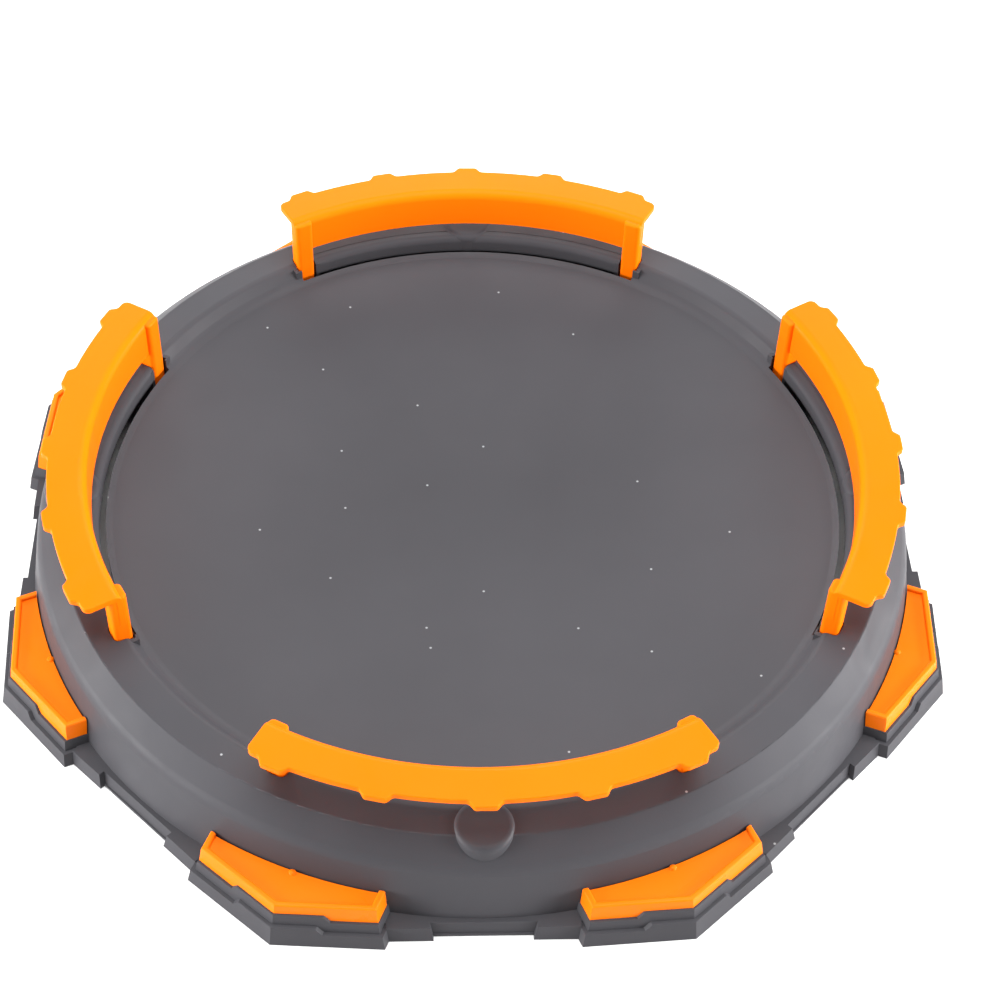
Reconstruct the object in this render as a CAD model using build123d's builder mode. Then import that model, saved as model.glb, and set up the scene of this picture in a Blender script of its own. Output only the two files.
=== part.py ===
from build123d import *
import math
import os

os.makedirs("parts", exist_ok=True)

# A tabletop arena for battling spinning tops: one octagonal grey moulding with a
# shallow round dish, four lift-off orange guard rails and eight orange corner trims.
# Millimetres and degrees, +Z up. The origin is on the table under the dish's centre,
# and the front is -Y. Angles are counted from +X, anticlockwise seen from above.

# Dish and rim
dish_radius = 110.0
dish_edge_height = 24.5
dish_depth = 8.0
rim_inner_radius = 113.8
rim_outer_radius = 123.2
rim_height = 29.6
rim_fall = 0.3
cove_radius = 5.0
rim_edge_radius = 0.8
rim_inner_rounding = 2.2

# Round outer wall
crease_radius = 130.3
crease_height = 23.0
crease_rounding = 6.0
wall_foot_radius = 134.3
shell = 2.2

# Octagonal foot
side_count = 8
side_turn = 360 / side_count
foot_apothem = 135.8
foot_height = 5.0
plinth_height = 0.9
plinth_step = 0.3
pad_apothem = 137.2
pad_inner_end = 13.4
pad_outer_end = 27.0
draft = 11.0

# Corner blocks: two tiers whose tops drop towards the ends of both legs
corner_radius = 149.0
block_half_width = 29.1
block_end_radius = 139.1
block_root_radius = 126.0
ledge = 1.1
lower_tier_height = 6.7
upper_tier_height = 10.1
tier_drop = 2.1
lower_drop_start = 11.2
upper_drop_start = 12.5
drop_run = 1.8
tier_edge = 0.3
pocket_height = 5.6

# Corner trims
trim_half_width = 26.2
trim_panel_height = 12.2
trim_lip_height = 13.3
trim_lip_width = 2.4
trim_wall_gap = 0.35
trim_draft = 8.0
trim_foot_inset = 3.4
trim_edge = 0.6
peg_radius = 1.6
peg_length = 5.5
peg_play = 0.1
peg_place_radius = 136.2
peg_spread = 19.5

# Guard rails
rail_count = 4
rail_half_angle = 29.9
rail_inner_radius = 113.0
rail_outer_radius = 124.4
rail_top = 47.8
rail_flange_thickness = 1.8
rail_wall_thickness = 2.0
rail_wall_bottom = 35.0
rail_edge_radius = 2.6
rail_corner = 2.0
rail_rim = 0.4
bump_count = 5
bump_pitch = 13.0
bump_height = 2.0
bump_base_half_width = 4.4
bump_tip_half_width = 2.9
bump_root = 0.6
bump_tip_rounding = 1.2
bump_base_rounding = 1.5

# Rail posts and the holes that they stand in
post_radius = 114.4
post_angle = 28.4
post_depth = 5.4
post_width = 5.8
post_corner = 1.4
post_top_edge = 0.8
tongue_depth = 3.4
tongue_width = 5.2
socket_floor = 12.0
socket_base = 10.4
socket_top = 20.0
socket_wall = 1.6
socket_play = 0.3
hole_play = 0.35

# Slots between the dish and the rim, each with its own wall, and the round boss on the
# rim at each rail's middle
slot_half_angle = 29.6
slot_outer_radius = 111.8
slot_wall_thickness = 1.8
slot_wall_bottom = 24.0
slot_wall_edge = 2.0
slot_wall_half_angle = 29.75
slot_band_radius = 115.6
slot_band_drop = 0.1
slot_band_lap = 0.8
boss_radius = 8.3
boss_centre_radius = 119.9
boss_top = 30.2
boss_edge = 1.8

# Stiffening ribs under the dish
rib_thickness = 1.8
rib_height = 6.0
rib_inner_radius = 18.0
rib_outer_radius = 108.0

rail_angles = {"front": -90, "right": 0, "back": 90, "left": 180}
corner_angles = {
    "front_left": -112.5,
    "front_right": -67.5,
    "right_front": -22.5,
    "right_back": 22.5,
    "back_right": 67.5,
    "back_left": 112.5,
    "left_back": 157.5,
    "left_front": -157.5,
}

dish_centre_height = dish_edge_height - dish_depth
wall_lean = (wall_foot_radius - crease_radius) / crease_height
draft_slope = math.tan(math.radians(draft))
leg_stretch = math.hypot(corner_radius - block_end_radius, block_half_width) / block_half_width
bump_spread = (bump_base_half_width - bump_tip_half_width) / bump_height
bump_root_half_width = bump_base_half_width + bump_spread * bump_root
rim_slope = rim_fall / (rim_outer_radius - rim_inner_radius)
slot_band_height = rim_height - slot_band_drop
slot_band_end = slot_band_radius + slot_band_lap
slot_wall_top = slot_band_height + rim_slope * (rim_inner_radius - slot_outer_radius)
slot_band_top = slot_band_height + rim_slope * (rim_inner_radius - slot_band_end)


def block_outline(inset, half_width, root_radius):
    """Plan corners of a block pointing along +X, its sides moved in by inset."""
    tip = corner_radius - inset * leg_stretch
    leg_slope = (corner_radius - block_end_radius) / block_half_width
    end = tip - leg_slope * half_width
    return [
        (root_radius, -half_width),
        (end, -half_width),
        (tip, 0),
        (end, half_width),
        (root_radius, half_width),
    ]


def drop_outline(start, top):
    """Side view of what is taken off the end of a leg, as points along Y and Z."""
    reach = block_half_width + ledge
    above = top + ledge
    return [
        (start, above),
        (start, top),
        (start + drop_run, top - tier_drop),
        (reach, top - tier_drop),
        (reach, above),
    ]


def ring_sector(inner_radius, outer_radius, middle_angle, half_angle):
    """Draws the outline of a piece of a flat ring in the active line builder."""
    start = middle_angle - half_angle
    inner_arc = CenterArc((0, 0), inner_radius, start, 2 * half_angle)
    outer_arc = CenterArc((0, 0), outer_radius, start, 2 * half_angle)
    Line(inner_arc @ 0, outer_arc @ 0)
    Line(inner_arc @ 1, outer_arc @ 1)


def uprights_between(solid, inner_radius, outer_radius):
    """Upright edges of a solid whose distance from the Z axis is between two radii."""
    return solid.edges().filter_by(Axis.Z).filter_by(
        lambda edge: inner_radius < math.hypot(edge.center().X, edge.center().Y) < outer_radius
    )


# Corner block, pointing along +X: two drafted tiers, each dropped at both ends
with BuildPart() as lower_tier:
    with BuildSketch(Plane.XY):
        Polygon(*block_outline(0, block_half_width, block_root_radius), align=None)
    extrude(amount=lower_tier_height, taper=draft)
    with BuildSketch(Plane.YZ.offset(block_root_radius)) as lower_drop:
        Polygon(*drop_outline(lower_drop_start, lower_tier_height), align=None)
        mirror(about=Plane.YZ)
    extrude(amount=corner_radius - block_root_radius, mode=Mode.SUBTRACT)
    fillet(lower_tier.edges().group_by(Axis.Z)[-1].filter_by(Axis.Y, reverse=True), tier_edge)

with BuildPart() as upper_tier:
    with BuildSketch(Plane.XY):
        Polygon(*block_outline(ledge, block_half_width - ledge, block_root_radius), align=None)
    extrude(amount=upper_tier_height, taper=draft)
    with BuildSketch(Plane.YZ.offset(block_root_radius)) as upper_drop:
        Polygon(*drop_outline(upper_drop_start, upper_tier_height), align=None)
        mirror(about=Plane.YZ)
    extrude(amount=corner_radius - block_root_radius, mode=Mode.SUBTRACT)
    fillet(upper_tier.edges().group_by(Axis.Z)[-1].filter_by(Axis.Y, reverse=True), tier_edge)

# Hollow under a corner block, outside the round wall
with BuildPart() as block_pocket:
    with BuildSketch(Plane.XY):
        Polygon(
            *block_outline(ledge + shell, block_half_width - ledge - shell, block_root_radius),
            align=None,
        )
        Circle(wall_foot_radius, mode=Mode.SUBTRACT)
    extrude(amount=pocket_height, taper=draft)

# Wall along a slot's outer side, from the dish side of the rim down into the slot; it
# starts at +X and turns anticlockwise
with BuildPart() as slot_wall:
    with BuildSketch(Plane.XZ) as wall_section:
        Polygon(
            (slot_outer_radius, slot_wall_bottom),
            (slot_outer_radius, slot_wall_top),
            (slot_band_end, slot_band_top),
            (slot_band_end, slot_band_top - slot_wall_thickness),
            (slot_outer_radius + slot_wall_thickness, slot_band_top - slot_wall_thickness),
            (slot_outer_radius + slot_wall_thickness, slot_wall_bottom),
            align=None,
        )
        corners = wall_section.vertices().sort_by_distance((slot_outer_radius, slot_wall_top))
        fillet(corners[0], slot_wall_edge)
    revolve(axis=Axis.Z, revolution_arc=2 * slot_wall_half_angle)

# Round boss on the rim, pointing along +X
with BuildPart() as rim_boss:
    with Locations((boss_centre_radius, 0, slot_wall_bottom)):
        Cylinder(
            boss_radius,
            boss_top - slot_wall_bottom,
            align=(Align.CENTER, Align.CENTER, Align.MIN),
        )
    fillet(rim_boss.edges().group_by(Axis.Z)[-1], boss_edge)

with BuildPart() as boss_hollow:
    with Locations((boss_centre_radius, 0, 0)):
        Cylinder(
            boss_radius - shell,
            boss_top - shell,
            align=(Align.CENTER, Align.CENTER, Align.MIN),
        )

# Socket under a post hole, and the hole with its tight lower end, pointing along +X
with BuildPart() as post_socket:
    with BuildSketch(Plane.XY.offset(socket_base)):
        Rectangle(
            tongue_depth + 2 * (socket_play + socket_wall),
            tongue_width + 2 * (socket_play + socket_wall),
        )
    extrude(amount=rim_height - shell / 2 - socket_base)

with BuildPart() as post_hole:
    with BuildSketch(Plane.XY.offset(socket_floor)):
        Rectangle(tongue_depth + 2 * socket_play, tongue_width + 2 * socket_play)
    extrude(amount=socket_top - socket_floor)
    with BuildSketch(Plane.XY.offset(socket_top)):
        hole_depth = post_depth + 2 * hole_play
        hole_width = post_width + 2 * hole_play
        RectangleRounded(hole_depth, hole_width, post_corner + hole_play)
        with Locations((-hole_depth / 4, 0)):
            Rectangle(hole_depth / 2, hole_width)
    extrude(amount=boss_top - socket_top)

# Rib under the dish, pointing along +X, its top edge buried in the dish's floor
with BuildPart() as dish_rib:
    with BuildSketch(Plane.XZ):
        rib_bottom = dish_centre_height - shell - rib_height
        Polygon(
            (rib_inner_radius, rib_bottom),
            (rib_outer_radius, rib_bottom),
            (rib_outer_radius, dish_edge_height - shell),
            (rib_inner_radius, dish_centre_height - shell / 2),
            align=None,
        )
    extrude(amount=rib_thickness / 2, both=True)

post_places = [
    rail_angle + side * post_angle for rail_angle in rail_angles.values() for side in (-1, 1)
]

with BuildPart() as arena_body:
    # Dish, rim and outer wall as one solid of revolution
    with BuildSketch(Plane.XZ) as outer_section:
        with BuildLine():
            dish_line = TangentArc(
                (0, dish_centre_height), (dish_radius, dish_edge_height), tangent=(1, 0)
            )
            Polyline(
                dish_line @ 1,
                (rim_inner_radius, rim_height),
                (rim_outer_radius, rim_height - rim_fall),
                (crease_radius, crease_height),
                (wall_foot_radius, 0),
                (0, 0),
                (0, dish_centre_height),
            )
        make_face()
        corners = outer_section.vertices().sort_by_distance((dish_radius, dish_edge_height))
        fillet(corners[0], cove_radius)
        corners = outer_section.vertices().sort_by_distance((crease_radius, crease_height))
        fillet(corners[0], crease_rounding)
        corners = outer_section.vertices().sort_by_distance((rim_inner_radius, rim_height))
        fillet(corners[0], rim_inner_rounding)
        corners = outer_section.vertices().sort_by_distance(
            (rim_outer_radius, rim_height - rim_fall)
        )
        fillet(corners[0], rim_edge_radius)
    revolve(axis=Axis.Z)

    # Octagonal foot, with a thin plinth and a wider pad beside each corner block
    with BuildSketch(Plane.XY):
        RegularPolygon(foot_apothem, side_count, major_radius=False, rotation=side_turn / 2)
    extrude(amount=plinth_height)
    with BuildSketch(Plane.XY):
        RegularPolygon(
            foot_apothem - plinth_step, side_count, major_radius=False, rotation=side_turn / 2
        )
    extrude(amount=foot_height, taper=draft)
    with BuildSketch(Plane.XY):
        with PolarLocations(0, side_count):
            for side in (-1, 1):
                pad_middle = side * (pad_inner_end + pad_outer_end) / 2
                with Locations(((block_root_radius + pad_apothem) / 2, pad_middle)):
                    Rectangle(pad_apothem - block_root_radius, pad_outer_end - pad_inner_end)
    extrude(amount=foot_height, taper=draft)

    with PolarLocations(0, side_count, start_angle=side_turn / 2):
        add(lower_tier.part)
        add(upper_tier.part)

    # The hollow underneath
    with BuildSketch(Plane.XZ):
        with BuildLine():
            under_dish = TangentArc(
                (0, dish_centre_height - shell),
                (dish_radius, dish_edge_height - shell),
                tangent=(1, 0),
            )
            Polyline(
                under_dish @ 1,
                (rim_inner_radius + shell / 2, rim_height - shell),
                (rim_outer_radius - shell / 2, rim_height - rim_fall - shell),
                (crease_radius - shell, crease_height - shell / 2),
                (wall_foot_radius - shell, 0),
                (0, 0),
                (0, dish_centre_height - shell),
            )
        make_face()
    revolve(axis=Axis.Z, mode=Mode.SUBTRACT)
    with PolarLocations(0, side_count, start_angle=side_turn / 2):
        add(block_pocket.part, mode=Mode.SUBTRACT)

    with PolarLocations(0, side_count, start_angle=side_turn / 2):
        add(dish_rib.part)

    # Slots between the dish and the rim, with the rim carried in to each slot's wall
    with BuildSketch(Plane.XY.offset(socket_top)):
        for angle in rail_angles.values():
            with BuildLine():
                ring_sector(dish_radius, slot_band_radius, angle, slot_half_angle)
            make_face()
    extrude(amount=rim_height - socket_top, mode=Mode.SUBTRACT)
    for angle in rail_angles.values():
        with PolarLocations(0, 1, start_angle=angle - slot_wall_half_angle):
            add(slot_wall.part)

    # Sockets for the rail posts, kept clear of the slots, then the post holes
    for angle in post_places:
        with PolarLocations(post_radius, 1, start_angle=angle):
            add(post_socket.part)
    with BuildSketch(Plane.XY.offset(socket_top)):
        for angle in rail_angles.values():
            with BuildLine():
                ring_sector(dish_radius, slot_outer_radius, angle, slot_half_angle)
            make_face()
    extrude(amount=rim_height - socket_top, mode=Mode.SUBTRACT)
    for angle in post_places:
        with PolarLocations(post_radius, 1, start_angle=angle):
            add(post_hole.part, mode=Mode.SUBTRACT)

    # Round bosses at the middle of each rail, hollow underneath
    with PolarLocations(0, rail_count):
        add(rim_boss.part)
        add(boss_hollow.part, mode=Mode.SUBTRACT)

    # Peg holes in the corner blocks
    with PolarLocations(0, side_count, start_angle=side_turn / 2):
        with Locations((peg_place_radius, -peg_spread), (peg_place_radius, peg_spread)):
            Cylinder(
                peg_radius + peg_play,
                upper_tier_height,
                align=(Align.CENTER, Align.CENTER, Align.MIN),
                mode=Mode.SUBTRACT,
            )
arena_body.part.label = "arena_body"
export_step(arena_body.part, "parts/arena_body.step")


# Corner trim, pointing along +X: a shallow tray with a lip along its outer legs and
# ends, open towards the round wall, its underside dropped like the tier below it
trim_base = upper_tier_height - tier_drop
with BuildPart() as corner_trim:
    with BuildSketch(Plane.XY.offset(trim_base)):
        Polygon(*block_outline(trim_foot_inset, trim_half_width, block_root_radius), align=None)
    extrude(amount=trim_lip_height - trim_base, taper=trim_draft)
    with BuildSketch(Plane.XY.offset(trim_panel_height)):
        tray_half_width = trim_half_width - trim_lip_width
        Polygon(
            *block_outline(trim_foot_inset + trim_lip_width, tray_half_width, block_root_radius),
            align=None,
        )
    extrude(amount=trim_lip_height - trim_panel_height, mode=Mode.SUBTRACT)
    fillet(corner_trim.edges().group_by(Axis.Z)[-1].filter_by(GeomType.LINE), trim_edge)
    with BuildSketch(Plane.YZ.offset(block_root_radius)):
        Polygon(
            (-upper_drop_start - drop_run, trim_base),
            (-upper_drop_start, upper_tier_height),
            (upper_drop_start, upper_tier_height),
            (upper_drop_start + drop_run, trim_base),
            align=None,
        )
    extrude(amount=corner_radius - block_root_radius, mode=Mode.SUBTRACT)
    with BuildSketch(Plane.XZ):
        Polygon(
            (0, 0),
            (wall_foot_radius + trim_wall_gap, 0),
            (wall_foot_radius + trim_wall_gap - wall_lean * rim_height, rim_height),
            (0, rim_height),
            align=None,
        )
    revolve(axis=Axis.Z, mode=Mode.SUBTRACT)
    with Locations(
        (peg_place_radius, -peg_spread, trim_base), (peg_place_radius, peg_spread, trim_base)
    ):
        Cylinder(peg_radius, peg_length, align=(Align.CENTER, Align.CENTER, Align.MAX))

for place, angle in corner_angles.items():
    with BuildPart() as placed_trim:
        with PolarLocations(0, 1, start_angle=angle):
            add(corner_trim.part)
    placed_trim.part.label = f"corner_trim_{place}"
    export_step(placed_trim.part, f"parts/corner_trim_{place}.step")

# Rail post, pointing along +X: a rounded leg with a tongue below its shoulder
with BuildPart() as rail_post:
    post_bottom = socket_floor + socket_play
    post_shoulder = socket_top + socket_play
    post_top = rail_top - rail_flange_thickness + post_top_edge
    with BuildSketch(Plane.XY.offset(post_shoulder)):
        RectangleRounded(post_depth, post_width, post_corner)
    extrude(amount=post_top - post_shoulder)
    fillet(rail_post.edges().group_by(Axis.Z)[-1], post_top_edge)
    with BuildSketch(Plane.XY.offset(post_bottom)):
        RectangleRounded(tongue_depth, tongue_width, post_corner)
    extrude(amount=post_shoulder - post_bottom)

# Guard rail, pointing along +X: an upright wall with a flange turned outwards at its
# top, bumps along the flange's outer edge, and a post at each end that plugs in
with BuildPart() as guard_rail:
    with BuildSketch(Plane.XY.offset(rail_top - rail_flange_thickness)):
        with BuildLine():
            ring_sector(rail_inner_radius, rail_outer_radius, 0, rail_half_angle)
        make_face()
        first_bump = -bump_pitch * (bump_count - 1) / 2
        for step in range(bump_count):
            with PolarLocations(rail_outer_radius, 1, start_angle=first_bump + step * bump_pitch):
                Polygon(
                    (-bump_root, -bump_root_half_width),
                    (bump_height, -bump_tip_half_width),
                    (bump_height, bump_tip_half_width),
                    (-bump_root, bump_root_half_width),
                    align=None,
                )
    extrude(amount=rail_flange_thickness)
    bump_middle_radius = rail_outer_radius + bump_height / 2
    bump_reach = rail_outer_radius + 2 * bump_height
    fillet(uprights_between(guard_rail, bump_middle_radius, bump_reach), bump_tip_rounding)
    feet_and_ends = uprights_between(guard_rail, rail_outer_radius - bump_root, bump_middle_radius)
    fillet(feet_and_ends.sort_by(Axis.Y)[1:-1], bump_base_rounding)
    feet_and_ends = uprights_between(guard_rail, rail_outer_radius - bump_root, bump_middle_radius)
    fillet(feet_and_ends.sort_by(Axis.Y)[:: len(feet_and_ends) - 1], rail_corner)
    with BuildSketch(Plane.XY.offset(rail_wall_bottom)):
        with BuildLine():
            wall_outer_radius = rail_inner_radius + rail_wall_thickness
            ring_sector(rail_inner_radius, wall_outer_radius, 0, rail_half_angle)
        make_face()
    extrude(amount=rail_top - rail_wall_bottom)
    top_face = guard_rail.faces().sort_by(Axis.Z)[-1]
    top_edges = top_face.edges().filter_by(GeomType.CIRCLE)
    inner_edge = top_edges.filter_by(lambda edge: abs(edge.radius - rail_inner_radius) < bump_root)
    fillet(inner_edge, rail_edge_radius)
    top_face = guard_rail.faces().sort_by(Axis.Z)[-1]
    wall_reach = rail_inner_radius + 2 * rail_edge_radius
    outer_rim = top_face.edges().filter_by(
        lambda edge: math.hypot((edge @ 0.5).X, (edge @ 0.5).Y) > wall_reach
    )
    fillet(outer_rim, rail_rim)
    for angle in (-post_angle, post_angle):
        with PolarLocations(post_radius, 1, start_angle=angle):
            add(rail_post.part)

for place, angle in rail_angles.items():
    with BuildPart() as placed_rail:
        with PolarLocations(0, 1, start_angle=angle):
            add(guard_rail.part)
    placed_rail.part.label = f"guard_rail_{place}"
    export_step(placed_rail.part, f"parts/guard_rail_{place}.step")
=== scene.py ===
import math

import bmesh
import bpy
from mathutils import Matrix, Vector


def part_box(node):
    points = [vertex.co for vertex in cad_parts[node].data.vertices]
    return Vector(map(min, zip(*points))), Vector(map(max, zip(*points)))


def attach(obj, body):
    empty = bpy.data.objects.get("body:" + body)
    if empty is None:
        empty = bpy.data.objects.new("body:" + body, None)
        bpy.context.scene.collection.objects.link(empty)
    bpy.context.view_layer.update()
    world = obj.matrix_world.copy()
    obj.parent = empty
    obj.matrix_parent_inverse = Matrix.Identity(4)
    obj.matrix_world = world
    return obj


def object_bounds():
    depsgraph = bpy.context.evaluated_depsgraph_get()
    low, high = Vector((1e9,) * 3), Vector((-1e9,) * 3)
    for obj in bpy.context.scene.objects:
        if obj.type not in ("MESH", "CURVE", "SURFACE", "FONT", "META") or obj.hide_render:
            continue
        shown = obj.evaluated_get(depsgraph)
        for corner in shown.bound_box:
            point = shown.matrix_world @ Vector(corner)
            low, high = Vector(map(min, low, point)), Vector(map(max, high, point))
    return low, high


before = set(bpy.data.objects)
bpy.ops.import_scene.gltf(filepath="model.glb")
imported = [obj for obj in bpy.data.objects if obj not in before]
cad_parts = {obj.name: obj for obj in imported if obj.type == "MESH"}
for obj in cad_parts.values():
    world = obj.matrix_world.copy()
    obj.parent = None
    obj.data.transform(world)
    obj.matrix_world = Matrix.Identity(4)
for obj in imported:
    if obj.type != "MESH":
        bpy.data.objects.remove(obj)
cad_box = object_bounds()

# Camera: the photograph's viewing angle, about a point near the middle of the object
CAMERA_AZIMUTH = math.radians(-3.344)
CAMERA_ELEVATION = math.radians(48.298)
CAMERA_ROLL = math.radians(2.175)
CAMERA_DISTANCE = 0.633644
CAMERA_LENS = 75.33
CAMERA_SENSOR = 36.0
CAMERA_OFFSET = Vector((0.00787, 0.0, -0.00105))

# Soft studio light: place, target, width and depth in metres, and watts
LIGHTS = {
    "light_top": ((0.0, 0.02, 0.98), (0, 0, 0), (0.95, 0.75), 15.8),
    "light_back": ((0.0, 1.25, 0.72), (0, 0, 0.02), (1.2, 0.5), 14.0),
    "light_left": ((-1.1, -0.2, 0.2), (0, 0, 0.02), (1.0, 0.35), 29.5),
    "light_right": ((1.1, -0.15, 0.2), (0, 0, 0.02), (1.0, 0.35), 33.5),
    "light_front": ((0.0, -1.3, 0.75), (0, 0, 0.04), (1.2, 0.6), 0.1),
}
WHITE = (1.0, 1.0, 1.0)
WORLD_STRENGTH = 0.27

# Plastics: colour, roughness, size and depth of the moulded grain, drift of colour,
# specular level, share of light let through, and whether dust lies on it
PLASTICS = {
    "arena_grey_plastic": dict(
        colour=(0.05, 0.049, 0.0545), rough=0.44, grain=1500.0, grain_depth=0.00004,
        shift=0.07, sheen=0.08, glow=0.0, dusty=True,
    ),
    "rail_orange_plastic": dict(
        colour=(0.98, 0.18, 0.0015), rough=0.35, grain=900.0, grain_depth=0.00002,
        shift=0.04, sheen=0.05, glow=0.18, dusty=False,
    ),
    "trim_orange_plastic": dict(
        colour=(0.98, 0.185, 0.003), rough=0.33, grain=900.0, grain_depth=0.00002,
        shift=0.04, sheen=0.08, glow=0.12, dusty=False,
    ),
}
PLASTIC_IOR = 1.5
NOISE_LOW, NOISE_HIGH = 0.3, 0.7
DRIFT_SCALE, DRIFT_DETAIL = 14.0, 4.0
RUB_SCALE, RUB_DETAIL, RUB_DISTORTION = 55.0, 6.0, 1.2
RUB_POLISH, RUB_DULL = 0.06, 0.07
GRAIN_DETAIL = 2.0
GRAIN_STRENGTH = 0.35

# Pale dust specks: one in each cell of this size, kept in a share of the cells, by radius,
# on surfaces that face up at least this much
SPECK_CELL = 0.024
SPECK_RADIUS = 0.00042
SPECK_CORE = 0.6
SPECK_SHARE = 0.45
SPECK_COLOUR = (0.3, 0.31, 0.32)
SPECK_UPWARD = 0.8

# Gate nub left by the moulding at the middle of each trim's inner edge
NUB_RADIUS = 0.0011
NUB_HEIGHT = 0.0008
NUB_PLACE_RADIUS = 0.1331
NUB_SINK = 0.0002
NUB_SIDES = 16
NUB_RINGS = 4
PANEL_DROP = 0.0011
SIDE_TURN = math.pi / 4

FLOOR_HALF = 3.0
FLOOR_COLOUR = (0.86, 0.86, 0.86)
FLOOR_ROUGHNESS = 0.8


def make_camera():
    centre = (cad_box[0] + cad_box[1]) / 2
    back = Vector((
        math.sin(CAMERA_AZIMUTH) * math.cos(CAMERA_ELEVATION),
        -math.cos(CAMERA_AZIMUTH) * math.cos(CAMERA_ELEVATION),
        math.sin(CAMERA_ELEVATION),
    ))
    right = (-back).cross(Vector((0, 0, 1))).normalized()
    up = right.cross(-back)
    across = math.cos(CAMERA_ROLL) * right + math.sin(CAMERA_ROLL) * up
    upright = -math.sin(CAMERA_ROLL) * right + math.cos(CAMERA_ROLL) * up
    data = bpy.data.cameras.new("camera")
    data.sensor_width = CAMERA_SENSOR
    data.lens = CAMERA_LENS
    camera = bpy.data.objects.new("camera", data)
    place = Matrix((across, upright, back)).transposed().to_4x4()
    place.translation = centre + CAMERA_OFFSET + back * CAMERA_DISTANCE
    camera.matrix_world = place
    bpy.context.scene.collection.objects.link(camera)
    bpy.context.scene.camera = camera


def area_light(name, place, target, size, power):
    data = bpy.data.lights.new(name, "AREA")
    data.shape = "RECTANGLE"
    data.size, data.size_y = size
    data.energy = power
    data.color = WHITE
    light = bpy.data.objects.new(name, data)
    light.location = place
    light.rotation_mode = "QUATERNION"
    light.rotation_quaternion = (Vector(target) - Vector(place)).to_track_quat("-Z", "Y")
    bpy.context.scene.collection.objects.link(light)


def make_lights():
    for name, light in LIGHTS.items():
        area_light(name, *light)
    world = bpy.data.worlds.new("studio")
    world.use_nodes = True
    background = world.node_tree.nodes["Background"]
    background.inputs["Color"].default_value = (*WHITE, 1)
    background.inputs["Strength"].default_value = WORLD_STRENGTH
    bpy.context.scene.world = world
    bpy.context.scene.view_settings.view_transform = "Standard"


def noise(nodes, links, place, scale, detail, distortion=0.0):
    texture = nodes.new("ShaderNodeTexNoise")
    texture.inputs["Scale"].default_value = scale
    texture.inputs["Detail"].default_value = detail
    texture.inputs["Distortion"].default_value = distortion
    links.new(place.outputs["Object"], texture.inputs["Vector"])
    return texture.outputs["Fac"]


def ramp_between(nodes, links, amount, low_colour, high_colour):
    ramp = nodes.new("ShaderNodeValToRGB")
    low, high = ramp.color_ramp.elements
    low.position, high.position = NOISE_LOW, NOISE_HIGH
    low.color, high.color = (*low_colour, 1), (*high_colour, 1)
    links.new(amount, ramp.inputs["Fac"])
    return ramp.outputs["Color"]


def map_range(nodes, links, value, from_low, from_high, to_low, to_high):
    node = nodes.new("ShaderNodeMapRange")
    node.inputs["From Min"].default_value = from_low
    node.inputs["From Max"].default_value = from_high
    node.inputs["To Min"].default_value = to_low
    node.inputs["To Max"].default_value = to_high
    links.new(value, node.inputs["Value"])
    return node.outputs["Result"]


def math_node(nodes, links, operation, first, second):
    """A math node on a socket and either another socket or a plain number."""
    node = nodes.new("ShaderNodeMath")
    node.operation = operation
    links.new(first, node.inputs[0])
    if isinstance(second, float):
        node.inputs[1].default_value = second
    else:
        links.new(second, node.inputs[1])
    return node.outputs["Value"]


def with_specks(nodes, links, place, tint):
    """Mixes sparse pale specks into a colour, on the surfaces that face up."""
    cells = nodes.new("ShaderNodeTexVoronoi")
    cells.voronoi_dimensions = "2D"
    cells.inputs["Scale"].default_value = 1 / SPECK_CELL
    links.new(place.outputs["Object"], cells.inputs["Vector"])
    speck_size = SPECK_RADIUS / SPECK_CELL
    near = map_range(
        nodes, links, cells.outputs["Distance"], SPECK_CORE * speck_size, speck_size, 1.0, 0.0
    )
    pick = nodes.new("ShaderNodeSeparateColor")
    links.new(cells.outputs["Color"], pick.inputs["Color"])
    facing = nodes.new("ShaderNodeSeparateXYZ")
    links.new(place.outputs["Normal"], facing.inputs["Vector"])
    kept = math_node(nodes, links, "LESS_THAN", pick.outputs["Red"], SPECK_SHARE)
    upward = math_node(nodes, links, "GREATER_THAN", facing.outputs["Z"], SPECK_UPWARD)
    both = math_node(nodes, links, "MULTIPLY", kept, upward)
    amount = math_node(nodes, links, "MULTIPLY", near, both)
    mix = nodes.new("ShaderNodeMix")
    mix.data_type = "RGBA"
    links.new(amount, mix.inputs["Factor"])
    links.new(tint, mix.inputs["A"])
    mix.inputs["B"].default_value = (*SPECK_COLOUR, 1)
    return mix.outputs["Result"]


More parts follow.
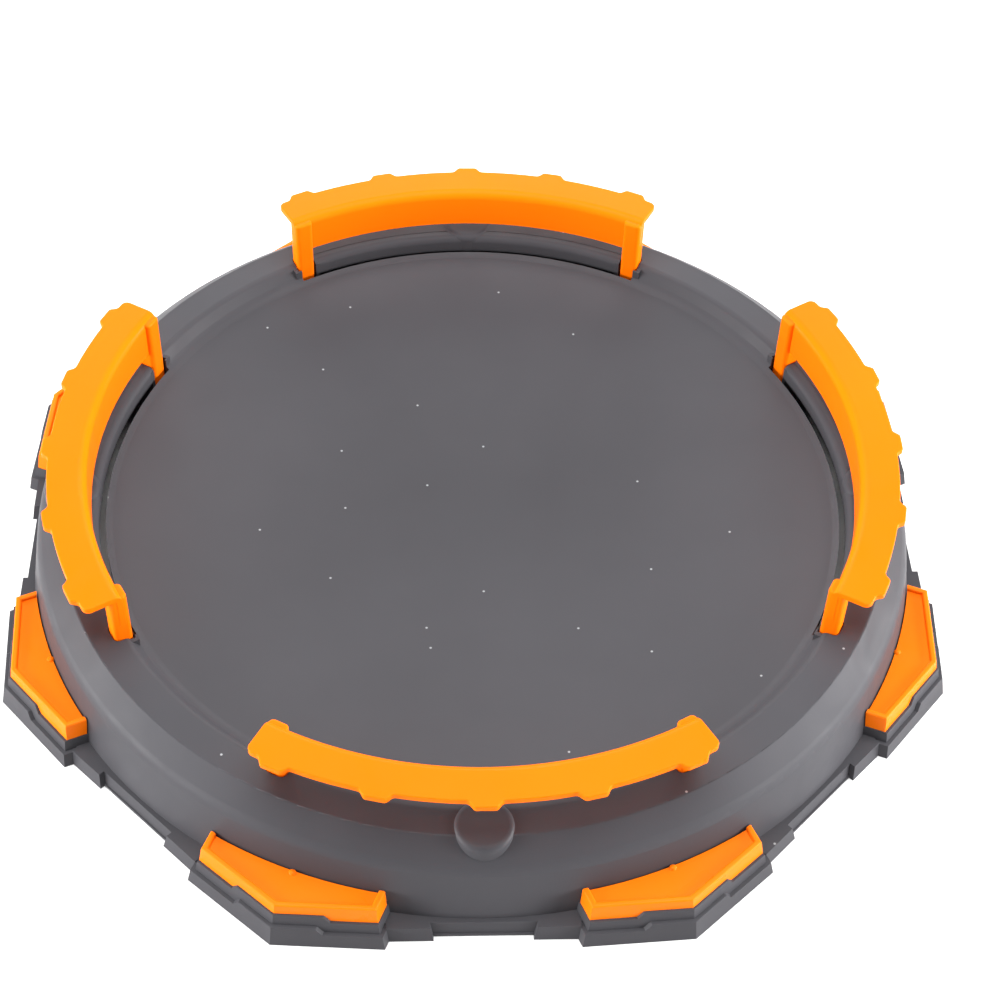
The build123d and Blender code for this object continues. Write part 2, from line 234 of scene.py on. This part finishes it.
def plastic(name, colour, rough, grain, grain_depth, shift, sheen, glow, dusty):
    """Moulded plastic: fine grain, a slow drift of colour, rubbed gloss and, if dusty, specks."""
    material = bpy.data.materials.new(name)
    material.use_nodes = True
    nodes, links = material.node_tree.nodes, material.node_tree.links
    shader = nodes["Principled BSDF"]
    shader.inputs["IOR"].default_value = PLASTIC_IOR
    shader.inputs["Specular IOR Level"].default_value = sheen
    place = nodes.new("ShaderNodeTexCoord")

    darker = [c * (1 - shift) for c in colour]
    lighter = [min(1.0, c * (1 + shift)) for c in colour]
    drift = noise(nodes, links, place, DRIFT_SCALE, DRIFT_DETAIL)
    tint = ramp_between(nodes, links, drift, darker, lighter)
    if dusty:
        tint = with_specks(nodes, links, place, tint)
    links.new(tint, shader.inputs["Base Color"])

    rubbed = noise(nodes, links, place, RUB_SCALE, RUB_DETAIL, RUB_DISTORTION)
    gloss = map_range(
        nodes, links, rubbed, NOISE_LOW, NOISE_HIGH, rough - RUB_POLISH, rough + RUB_DULL
    )
    links.new(gloss, shader.inputs["Roughness"])

    bump = nodes.new("ShaderNodeBump")
    bump.inputs["Strength"].default_value = GRAIN_STRENGTH
    bump.inputs["Distance"].default_value = grain_depth
    links.new(noise(nodes, links, place, grain, GRAIN_DETAIL), bump.inputs["Height"])
    links.new(bump.outputs["Normal"], shader.inputs["Normal"])

    if glow:
        through = nodes.new("ShaderNodeBsdfTranslucent")
        links.new(tint, through.inputs["Color"])
        mix = nodes.new("ShaderNodeMixShader")
        mix.inputs["Fac"].default_value = glow
        links.new(shader.outputs["BSDF"], mix.inputs[1])
        links.new(through.outputs["BSDF"], mix.inputs[2])
        links.new(mix.outputs["Shader"], nodes["Material Output"].inputs["Surface"])
    return material


def nub_ring(work, centre, lift):
    """One ring of the dome's vertices, this far up it as an angle."""
    reach, rise = NUB_RADIUS * math.cos(lift), NUB_HEIGHT * math.sin(lift) - NUB_SINK
    turns = [2 * math.pi * side / NUB_SIDES for side in range(NUB_SIDES)]
    return [
        work.verts.new(centre + Vector((reach * math.cos(turn), reach * math.sin(turn), rise)))
        for turn in turns
    ]


def make_nub(name, angle, top, material):
    """A low dome on a trim, set on its panel at this angle from +X."""
    mesh = bpy.data.meshes.new(name)
    work = bmesh.new()
    centre = Vector((NUB_PLACE_RADIUS * math.cos(angle), NUB_PLACE_RADIUS * math.sin(angle), top))
    rings = [
        nub_ring(work, centre, math.pi / 2 * ring / NUB_RINGS) for ring in range(NUB_RINGS)
    ]
    tip = work.verts.new(centre + Vector((0, 0, NUB_HEIGHT - NUB_SINK)))
    for side in range(NUB_SIDES):
        after = (side + 1) % NUB_SIDES
        for lower, upper in zip(rings, rings[1:]):
            work.faces.new((lower[side], lower[after], upper[after], upper[side])).smooth = True
        work.faces.new((rings[-1][side], rings[-1][after], tip)).smooth = True
    work.faces.new(list(reversed(rings[0])))
    work.to_mesh(mesh)
    work.free()
    mesh.materials.append(material)
    nub = bpy.data.objects.new(name, mesh)
    bpy.context.scene.collection.objects.link(nub)
    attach(nub, "arena")


def add_nub_to(trim_name, material):
    """Puts the nub on the corner block that this trim sits on."""
    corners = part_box(trim_name)
    middle = (corners[0] + corners[1]) / 2
    side = math.floor(math.atan2(middle.y, middle.x) / SIDE_TURN)
    nub_name = trim_name.replace("corner_trim", "gate_nub")
    make_nub(nub_name, (side + 0.5) * SIDE_TURN, corners[1].z - PANEL_DROP, material)


def make_floor():
    mesh = bpy.data.meshes.new("floor")
    signs = ((-1, -1), (1, -1), (1, 1), (-1, 1))
    corners = [(x * FLOOR_HALF, y * FLOOR_HALF, 0) for x, y in signs]
    mesh.from_pydata(corners, [], [(0, 1, 2, 3)])
    floor = bpy.data.objects.new("floor", mesh)
    bpy.context.scene.collection.objects.link(floor)
    material = bpy.data.materials.new("floor_pale")
    material.use_nodes = True
    shader = material.node_tree.nodes["Principled BSDF"]
    shader.inputs["Base Color"].default_value = (*FLOOR_COLOUR, 1)
    shader.inputs["Roughness"].default_value = FLOOR_ROUGHNESS
    mesh.materials.append(material)


make_camera()
make_lights()
grey, rail_orange, trim_orange = (plastic(name, **look) for name, look in PLASTICS.items())
for name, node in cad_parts.items():
    chosen = grey
    if name.startswith("guard_rail"):
        chosen = rail_orange
    if name.startswith("corner_trim"):
        chosen = trim_orange
        add_nub_to(name, trim_orange)
    for place in node.material_slots:
        place.material = chosen
make_floor()
